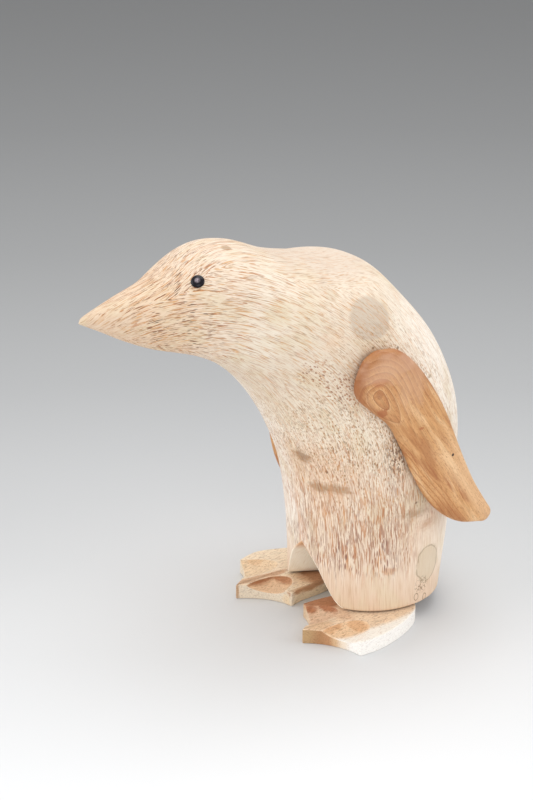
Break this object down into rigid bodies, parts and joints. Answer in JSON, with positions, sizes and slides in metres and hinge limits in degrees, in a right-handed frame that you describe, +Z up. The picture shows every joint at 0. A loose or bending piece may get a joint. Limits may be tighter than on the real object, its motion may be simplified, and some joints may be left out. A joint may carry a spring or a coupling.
{
  "type": "wooden penguin carving",
  "caption": "Carved root-wood penguin leaning forward on flat webbed feet, with paddle wings and bead eyes; stands by its own weight.",
  "frame": {"origin": "on the floor, under the middle of the whole bird's box", "axes": "+Z up, -Y the way the beak points, +X the bird's left side"},
  "size_m": [0.143, 0.2582, 0.2569],
  "materials": {
    "root_wood": "bleached and sanded, dry, with brown fibre ends",
    "wing_wood": "sanded smooth, faint satin, growth rings showing",
    "foot_wood": "knife-cut and sanded, pale sapwood edges and brown heartwood",
    "eye_bead": "polished black"
  },
  "bodies": {
    "root": {"body": "root_wood", "left_wing": "wing_wood", "right_wing": "wing_wood", "left_foot": "foot_wood", "right_foot": "foot_wood", "left_eye": "eye_bead", "right_eye": "eye_bead"}
  },
  "joints": []
}
